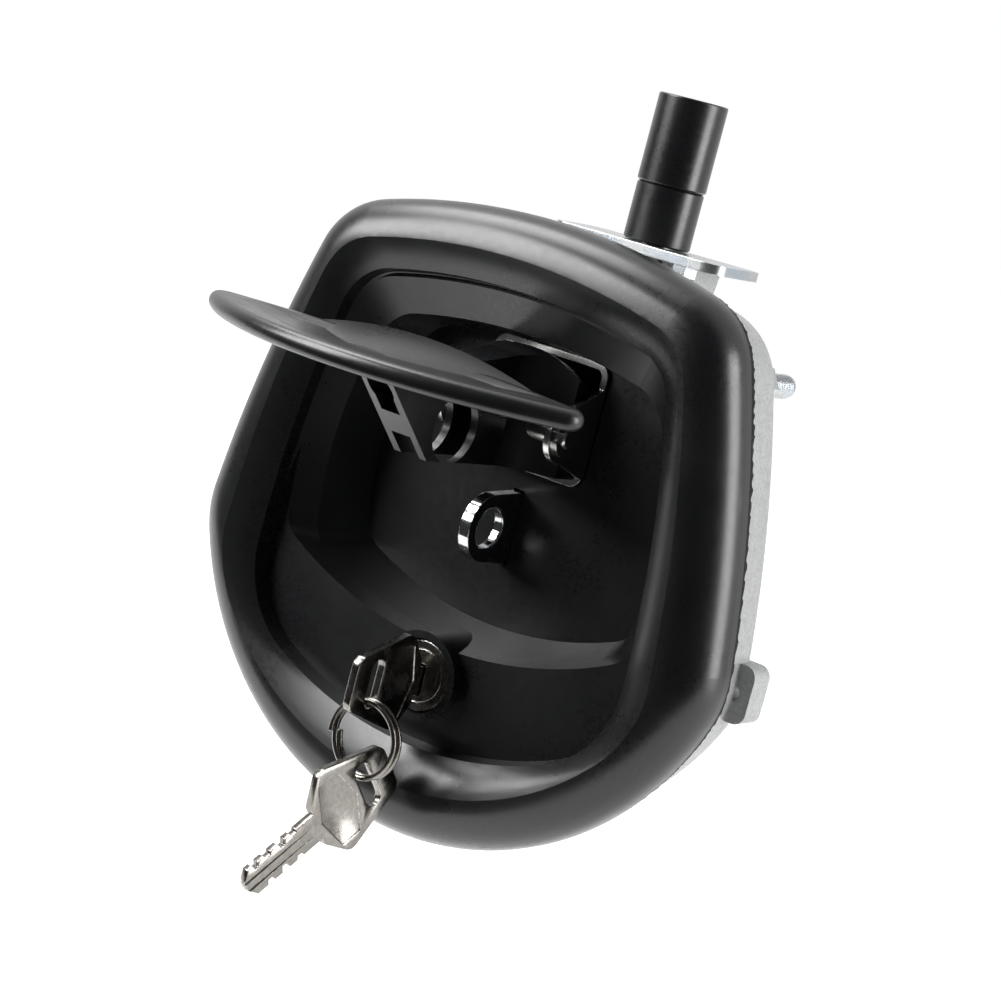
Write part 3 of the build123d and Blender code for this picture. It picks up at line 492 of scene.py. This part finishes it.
print("finish:", "zinc_steel")

# %% [markdown]
# Stainless sheet: warm grey, finely ground along its length, with bright punched edges.

# %% Stainless
tree, shader = start_finish("stainless", 1.0, 0.5)
rolled = add_group(tree, brushed, Along=40.0, Across=5200.0)
touch = add_group(tree, handling, Patches=60.0, Scratches=900.0)
rim = add_group(tree, wear, Radius=0.00025, Breakup=900.0, Amount=0.9)
ground_low, ground_high = (0.46, 0.455, 0.44), (0.64, 0.635, 0.615)
punched_edge = (0.84, 0.83, 0.80)
ground = mix_colors(tree, rolled["Tone"], ground_low, ground_high)
tree.links.new(mix_colors(tree, rim["Mask"], ground, punched_edge), shader.inputs["Base Color"])
tree.links.new(spread(tree, touch["Smudge"], 0.0, 1.0, 0.2, 0.3), shader.inputs["Roughness"])
add_bump(tree, shader, rolled["Height"], 0.00003, 0.3, rim["Normal"])
print("finish:", "stainless")

# %% [markdown]
# Chrome on the hasp: nearly a mirror, with the slow waves of polishing under it and faint prints on it.

# %% Chrome
tree, shader = start_finish("chrome_steel", 1.0, 0.5)
skin = add_group(tree, grain, Fine=900.0, Coarse=260.0, Share=0.7)
touch = add_group(tree, handling, Patches=110.0, Scratches=1100.0)
rim = add_group(tree, wear, Radius=0.0004, Breakup=900.0, Amount=0.5)
chrome_clean, chrome_touched = (0.56, 0.57, 0.59), (0.46, 0.47, 0.49)
chrome_edge = (0.9, 0.9, 0.91)
tone = mix_colors(tree, touch["Smudge"], chrome_clean, chrome_touched)
tree.links.new(mix_colors(tree, rim["Mask"], tone, chrome_edge), shader.inputs["Base Color"])
gloss = spread(tree, touch["Smudge"], 0.0, 1.0, 0.07, 0.16)
scuffed = math_node(tree, "ADD", gloss, math_node(tree, "MULTIPLY", touch["Scratch"], 0.2))
tree.links.new(scuffed, shader.inputs["Roughness"])
add_bump(tree, shader, skin["Height"], 0.00005, 0.3, rim["Normal"])
print("finish:", "chrome_steel")

# %% [markdown]
# Nickel of the keys, ring and cylinder: a warm silver with a stamped grain, scratched by use in a pocket.

# %% Nickel
tree, shader = start_finish("nickel", 1.0, 0.5)
skin = add_group(tree, grain, Fine=2900.0, Coarse=900.0, Share=0.4)
touch = add_group(tree, handling, Patches=90.0, Scratches=1300.0)
rim = add_group(tree, wear, Radius=0.0003, Breakup=1000.0, Amount=0.9)
nickel_low, nickel_high = (0.195, 0.184, 0.17), (0.26, 0.249, 0.231)
nickel_touched, nickel_edge = (0.145, 0.134, 0.12), (0.80, 0.78, 0.74)
tone = mix_colors(tree, skin["Tone"], nickel_low, nickel_high)
darker = mix_colors(tree, math_node(tree, "MULTIPLY", touch["Smudge"], 0.45), tone, nickel_touched)
tree.links.new(mix_colors(tree, rim["Mask"], darker, nickel_edge), shader.inputs["Base Color"])
gloss = spread(tree, skin["Tone"], 0.0, 1.0, 0.18, 0.26)
scuffed = math_node(tree, "ADD", gloss, math_node(tree, "MULTIPLY", touch["Scratch"], 0.2))
tree.links.new(scuffed, shader.inputs["Roughness"])
add_bump(tree, shader, skin["Height"], 0.00005, 0.4, rim["Normal"])
print("finish:", "nickel")

# %% [markdown]
# Foam of the seal: matt black with small cells, so its grain is coarse and deep.

# %% Seal foam
tree, shader = start_finish("seal_rubber", 0.0, 0.25)
skin = add_group(tree, grain, Fine=2600.0, Coarse=1100.0, Share=0.5)
foam_pit, foam_skin = (0.006, 0.006, 0.006), (0.028, 0.028, 0.027)
cells = spread(tree, skin["Height"], 0.35, 0.65, 0.0, 1.0)
tree.links.new(mix_colors(tree, cells, foam_pit, foam_skin), shader.inputs["Base Color"])
tree.links.new(spread(tree, skin["Tone"], 0.0, 1.0, 0.85, 0.97), shader.inputs["Roughness"])
add_bump(tree, shader, skin["Height"], 0.0004, 0.9)
print("finishes:", sorted(finishes))

# %% [markdown]
# The solids of the frame arrive with the exact directions of their curved faces, so the ones whose shape is
# complete stay as they are and only take their finish. Pieces that get more shape start as copies. The points
# of a copy are merged before a boolean or a remesh, since the solids are loose triangles.

# %% Helpers for copies
close_by = 0.01 * MM


def only(piece):
    """Select one piece alone and make it active."""
    bpy.ops.object.select_all(action="DESELECT")
    piece.select_set(True)
    bpy.context.view_layer.objects.active = piece


def plain_copy(node, name):
    """Copy of a solid under a new name, with its finish on."""
    source = frame["nodes"][node]
    copy = source.copy()
    copy.data = source.data.copy()
    copy.name = name
    bpy.context.scene.collection.objects.link(copy)
    return copy


def merged_copy(node, name):
    """Copy of a solid with its points merged."""
    copy = plain_copy(node, name)
    only(copy)
    bpy.ops.object.mode_set(mode="EDIT")
    bpy.ops.mesh.select_all(action="SELECT")
    bpy.ops.mesh.remove_doubles(threshold=close_by)
    bpy.ops.object.mode_set(mode="OBJECT")
    return copy


def apply_last(piece):
    """Apply the modifier that was added last."""
    only(piece)
    bpy.ops.object.modifier_apply(modifier=piece.modifiers[-1].name)


def stand_in(piece, node):
    """Let a piece take the place of its solid, on the same body."""
    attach(piece, frame["nodes"][node]["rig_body"])
    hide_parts(node)
    print(piece.name, "replaces", node, "faces", len(piece.data.polygons))


for node, solid in sorted(frame["nodes"].items()):
    solid.data.materials.clear()
    solid.data.materials.append(finishes[slot_of[node]])
print("solids with their finish:", len(frame["nodes"]))

# %% [markdown]
# Front tray. In the frame, four ribs inside the hollow back of the rim are too long: they run on through its
# wall and stand out of it as small square tips. The real rim is smooth there, so the faces of the tips come
# off. Small plugs close the openings: each is a curved strip between the borders that the rib leaves in the
# wall, thickened inwards.

# %% Flush rim
rib_sides = (28.8 * MM, 31.2 * MM)
rib_front = -6.5 * MM
rib_ends = (71.25 * MM, -76.0 * MM)
tip_top = 68.2 * MM
tip_bottom = -72.0 * MM
plug_depth = 0.6 * MM
faces_sideways = 0.9

tray = plain_copy("front_tray", "front_tray_dressed")
points = tray.data.vertices


def is_near(value, *places):
    """Whether a number is at one of some places."""
    return any(abs(value - place) < close_by for place in places)


def is_tip_face(face):
    """Whether a face belongs to a tip that stands out of the rim, apart from its flat back."""
    corners = [points[i].co for i in face.vertices]
    if any(not rib_sides[0] - close_by < abs(c.x) < rib_sides[1] + close_by for c in corners):
        return False
    if any(tip_bottom < c.z < tip_top for c in corners) or all(is_near(c.y, 0) for c in corners):
        return False
    flat_front = all(is_near(c.y, rib_front) for c in corners)
    rib_side = abs(face.normal.x) > faces_sideways
    return flat_front or rib_side or any(is_near(c.z, *rib_ends) for c in corners)


def border(x, top):
    """Points where one side of a rib meets the wall, from the back to the front."""
    found = {}
    for point in points:
        if is_near(point.co.x, x) and (point.co.z > tip_top if top else point.co.z < tip_bottom):
            if not is_near(point.co.z, *rib_ends) and rib_front - close_by < point.co.y < close_by:
                found[round(point.co.y / close_by)] = point.co.copy()
    return [found[key] for key in sorted(found, reverse=True)]


def rim_plug(name, near, far, top):
    """Curved strip between two borders, thickened into the wall."""
    count = min(len(near), len(far))
    strip = bpy.data.meshes.new(name)
    rungs = [(i, i + 1, count + i + 1, count + i) for i in range(count - 1)]
    strip.from_pydata([tuple(p) for p in near[:count] + far[:count]], [], rungs)
    plug = bpy.data.objects.new(name, strip)
    bpy.context.scene.collection.objects.link(plug)
    only(plug)
    bpy.ops.object.mode_set(mode="EDIT")
    bpy.ops.mesh.select_all(action="SELECT")
    if (strip.polygons[0].normal.z > 0) != top:
        bpy.ops.mesh.flip_normals()
    bpy.ops.object.mode_set(mode="OBJECT")
    bpy.ops.object.modifier_add(type="SOLIDIFY")
    plug.modifiers[-1].thickness = plug_depth
    plug.modifiers[-1].offset = -1
    apply_last(plug)
    bpy.ops.object.shade_smooth_by_angle(angle=radians(30))
    strip.materials.append(finishes["black_coat"])
    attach(plug, "lock_body")
    print(plug.name, "points a side:", len(near), len(far))


rib_corners = [(side, top) for side in (-1, 1) for top in (True, False)]
for number, (side, top) in enumerate(rib_corners, start=1):
    near, far = (border(side * x, top) for x in rib_sides)
    rim_plug(f"rim_plug_{number}", near, far, top)

only(tray)
bpy.ops.object.mode_set(mode="EDIT")
bpy.ops.mesh.select_mode(type="FACE")
bpy.ops.mesh.select_all(action="DESELECT")
bpy.ops.object.mode_set(mode="OBJECT")
for face in tray.data.polygons:
    face.select = is_tip_face(face)
print("faces of the tips:", sum(face.select for face in tray.data.polygons))
bpy.ops.object.mode_set(mode="EDIT")
bpy.ops.mesh.delete(type="FACE")
bpy.ops.object.mode_set(mode="OBJECT")
points = tray.data.vertices
for point in points:
    if is_near(abs(point.co.x), *rib_sides) and is_near(point.co.z, *rib_ends):
        point.co = border(point.co.x, point.co.z > 0)[0]
stand_in(tray, "front_tray")

# %% [markdown]
# Keys. A key is blanked from sheet, its bow is coined with a grained panel inside a smooth border, two
# grooves are milled along each side of the blade, and the cuts are ground into both edges. The same steps
# are done here on a key that lies flat: cutters for the panel, the grooves and the cuts are taken out of it
# one after another.

# %% Key places
def key_place(head, along, normal):
    """Matrix of a key: its head, the way along it, and the way out of its flat side."""
    out = Vector(normal).normalized()
    forward = (Vector(along) - Vector(along).dot(out) * out).normalized()
    turn = Matrix((forward, out.cross(forward), out)).transposed().to_4x4()
    return Matrix.Translation(Vector(head) * MM) @ turn


key_places = {
    "spare_key": key_place((4.89, -17.6, -60.13), (-0.10, -0.78, -0.61), (0.98, -0.18, 0.07)),
    "inserted_key": key_place((0, -33.0, -41.3), (0, 1, 0), (1, 0, 0)),
}
key_half = 1.0 * MM
blade_half = 3.6 * MM
print("keys:", sorted(key_places))

# %% Cutters for a key
def take_out(piece, cutter):
    """Subtract a cutter from a piece and delete the cutter."""
    only(piece)
    bpy.ops.object.modifier_add(type="BOOLEAN")
    cut = piece.modifiers[-1]
    cut.operation = "DIFFERENCE"
    cut.solver = "EXACT"
    cut.object = cutter
    apply_last(piece)
    bpy.data.objects.remove(cutter)


def panel_cutter(side):
    """Six-sided pan for the coined panel of the bow, on one side of the key."""
    panel_at = 16.9 * MM
    panel_length = 5.0 * MM
    panel_width = 10.3 * MM
    panel_depth = 0.22 * MM
    panel_round = 0.1 * MM
    bpy.ops.object.select_all(action="DESELECT")
    bpy.ops.mesh.primitive_cylinder_add(vertices=6, radius=panel_width, depth=2 * panel_depth,
                                        location=(panel_at, 0, side * key_half), rotation=(0, 0, pi / 6))
    pan = bpy.context.active_object
    bpy.ops.object.transform_apply(location=True, rotation=True, scale=True)
    bpy.ops.object.mode_set(mode="EDIT")
    bpy.ops.mesh.select_all(action="SELECT")
    squeeze_x = panel_length / (panel_width * cos(pi / 6))
    bpy.ops.transform.resize(value=(squeeze_x, 1, 1), center_override=(panel_at, 0, 0))
    bpy.ops.mesh.bevel(offset=panel_round, segments=2, affect="EDGES")
    bpy.ops.object.mode_set(mode="OBJECT")
    return pan


def groove_cutter(side, across, start):
    """Long milled groove with a pointed start, on one side of the blade."""
    groove_end = 47.5 * MM
    groove_width = 1.1 * MM
    groove_depth = 0.45 * MM
    point_narrows, point_flattens = 0.12, 0.35
    floor_narrows = 0.45
    bpy.ops.object.select_all(action="DESELECT")
    bpy.ops.mesh.primitive_cube_add(size=1, location=((start + groove_end) / 2, across, side * key_half),
                                    scale=(groove_end - start, groove_width, 2 * groove_depth))
    bar = bpy.context.active_object
    bpy.ops.object.transform_apply(location=True, rotation=True, scale=True)
    bpy.ops.object.mode_set(mode="EDIT")
    bpy.ops.mesh.select_all(action="DESELECT")
    bpy.ops.object.mode_set(mode="OBJECT")
    for point in bar.data.vertices:
        point.select = point.co.x < start + close_by
    bpy.ops.object.mode_set(mode="EDIT")
    groove_point = (start, across, side * key_half)
    bpy.ops.transform.resize(value=(1, point_narrows, point_flattens), center_override=groove_point)
    bpy.ops.object.mode_set(mode="OBJECT")
    for point in bar.data.vertices:
        point.select = side * point.co.z < key_half
    bpy.ops.object.mode_set(mode="EDIT")
    bpy.ops.transform.resize(value=(1, floor_narrows, 1), center_override=groove_point)
    bpy.ops.object.mode_set(mode="OBJECT")
    return bar


def notch_cutter(place, edge_side, depth, width):
    """Ground cut in an edge of the blade: narrow at its floor and wide at the edge."""
    floor_narrows = 0.35
    bpy.ops.object.select_all(action="DESELECT")
    bpy.ops.mesh.primitive_cube_add(size=1, location=(place, edge_side * blade_half, 0),
                                    scale=(width, 2 * depth, 4 * key_half))
    wedge = bpy.context.active_object
    bpy.ops.object.transform_apply(location=True, rotation=True, scale=True)
    bpy.ops.object.mode_set(mode="EDIT")
    bpy.ops.mesh.select_all(action="DESELECT")
    bpy.ops.object.mode_set(mode="OBJECT")
    for point in wedge.data.vertices:
        point.select = edge_side * point.co.y < blade_half
    bpy.ops.object.mode_set(mode="EDIT")
    bpy.ops.transform.resize(value=(floor_narrows, 1, 1), center_override=(place, edge_side * blade_half, 0))
    bpy.ops.object.mode_set(mode="OBJECT")
    return wedge


print("cutters ready")

# %% Cut the keys
key_round = 0.12 * MM
groove_lines = ((1.25 * MM, 26.2 * MM), (-1.0 * MM, 25.2 * MM))
# Each cut: its place along the key, the edge it is in, its depth and its width, in millimetres.
notches = ((31.0, 1, 0.9, 3.2), (35.6, 1, 1.5, 3.4), (40.2, 1, 1.1, 3.2),
           (30.2, -1, 0.7, 2.8), (34.0, -1, 1.3, 3.2), (38.4, -1, 0.8, 3.0), (42.2, -1, 1.2, 2.6))
for node, place in key_places.items():
    key = merged_copy(node, node + "_cut")
    key.data.transform(place.inverted())
    only(key)
    bpy.ops.object.mode_set(mode="EDIT")
    bpy.ops.mesh.select_all(action="SELECT")
    bpy.ops.mesh.dissolve_limited(angle_limit=radians(1))
    bpy.ops.object.mode_set(mode="OBJECT")
    for side in (-1, 1):
        take_out(key, panel_cutter(side))
        for across, start in groove_lines:
            take_out(key, groove_cutter(side, side * across, start))
    for along, edge_side, depth, width in notches:
        take_out(key, notch_cutter(along * MM, edge_side, depth * MM, width * MM))
    only(key)
    bpy.ops.object.modifier_add(type="BEVEL")
    bevel = key.modifiers[-1]
    bevel.width = key_round
    bevel.segments = 2
    bevel.limit_method = "ANGLE"
    bevel.angle_limit = radians(50)
    apply_last(key)
    key.data.transform(place)
    bpy.ops.object.shade_smooth_by_angle(angle=radians(35))
    stand_in(key, node)

# %% [markdown]
# Seal. Closed-cell foam has a skin of small pits and a slightly wavy edge. A voxel remesh gives the plain
# ring an even net of small faces, and a cloud pattern pushes them in and out by less than 0.3 mm.

# %% Foam seal
foam_cell = 0.75 * MM
foam_push = 0.45 * MM
foam_scale = 1.6 * MM
foam_level = 0.62
seal = merged_copy("panel_gasket", "panel_gasket_foam")
only(seal)
bpy.ops.object.modifier_add(type="REMESH")
seal.modifiers[-1].mode = "VOXEL"
seal.modifiers[-1].voxel_size = foam_cell
apply_last(seal)
clouds = bpy.data.textures.new("foam_clouds", "CLOUDS")
clouds.noise_scale = foam_scale
clouds.noise_depth = 2
bpy.ops.object.modifier_add(type="DISPLACE")
seal.modifiers[-1].texture = clouds
seal.modifiers[-1].texture_coords = "LOCAL"
seal.modifiers[-1].strength = foam_push
seal.modifiers[-1].mid_level = foam_level
apply_last(seal)
bpy.ops.object.shade_smooth()
stand_in(seal, "panel_gasket")

# %% [markdown]
# Threads. The four studs at the back are threaded up to their ends. A zigzag line is spun once around the
# axis of a stud, which gives rings of the right pitch; at this size they can't be told from a helix. The
# sleeve of rings is modelled once, and each of the other studs gets its own copy.

# %% Stud threads
thread_pitch = 0.8 * MM
thread_core = 2.7 * MM
thread_crest = 2.98 * MM
thread_start = 21.0 * MM
thread_turns = 20
thread_steps = 28
stud_places = ((50.0, 47.5), (-50.0, 47.5), (50.0, -40.0), (-50.0, -40.0))
first_x, first_z = stud_places[0][0] * MM, stud_places[0][1] * MM
thread_rise = thread_crest - thread_core


def extend_line(x, y):
    """Lengthen the zigzag by one straight piece."""
    bpy.ops.mesh.extrude_vertices_move(TRANSFORM_OT_translate={"value": (x, y, 0)})


bpy.ops.object.select_all(action="DESELECT")
line_start = (first_x + thread_core, thread_start, first_z)
bpy.ops.mesh.primitive_plane_add(size=thread_pitch / 2, location=line_start)
thread = bpy.context.active_object
thread.name = "stud_thread_1"
bpy.ops.object.transform_apply(location=True, rotation=True, scale=True)
bpy.ops.object.mode_set(mode="EDIT")
bpy.ops.mesh.select_mode(type="VERT")
bpy.ops.mesh.select_all(action="SELECT")
bpy.ops.mesh.merge(type="CENTER")
for _ in range(thread_turns):
    extend_line(thread_rise, thread_pitch / 2)
    extend_line(-thread_rise, thread_pitch / 2)
extend_line(-thread_core, 0)
bpy.ops.mesh.select_all(action="SELECT")
bpy.ops.mesh.spin(steps=thread_steps, angle=2 * pi, center=(first_x, thread_start, first_z), axis=(0, 1, 0))
bpy.ops.mesh.select_all(action="SELECT")
bpy.ops.mesh.remove_doubles(threshold=close_by)
bpy.ops.mesh.normals_make_consistent(inside=False)
bpy.ops.object.mode_set(mode="OBJECT")
bpy.ops.object.shade_smooth_by_angle(angle=radians(30))
thread.data.materials.append(finishes["zinc_steel"])
threads = [thread]
for number, (x, z) in enumerate(stud_places[1:], start=2):
    copy = thread.copy()
    copy.data = thread.data.copy()
    copy.data.transform(Matrix.Translation((x * MM - first_x, 0, z * MM - first_z)))
    copy.name = f"stud_thread_{number}"
    bpy.context.scene.collection.objects.link(copy)
    threads.append(copy)
for piece in threads:
    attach(piece, "lock_body")
print("threads:", len(threads), "faces each:", len(thread.data.polygons))
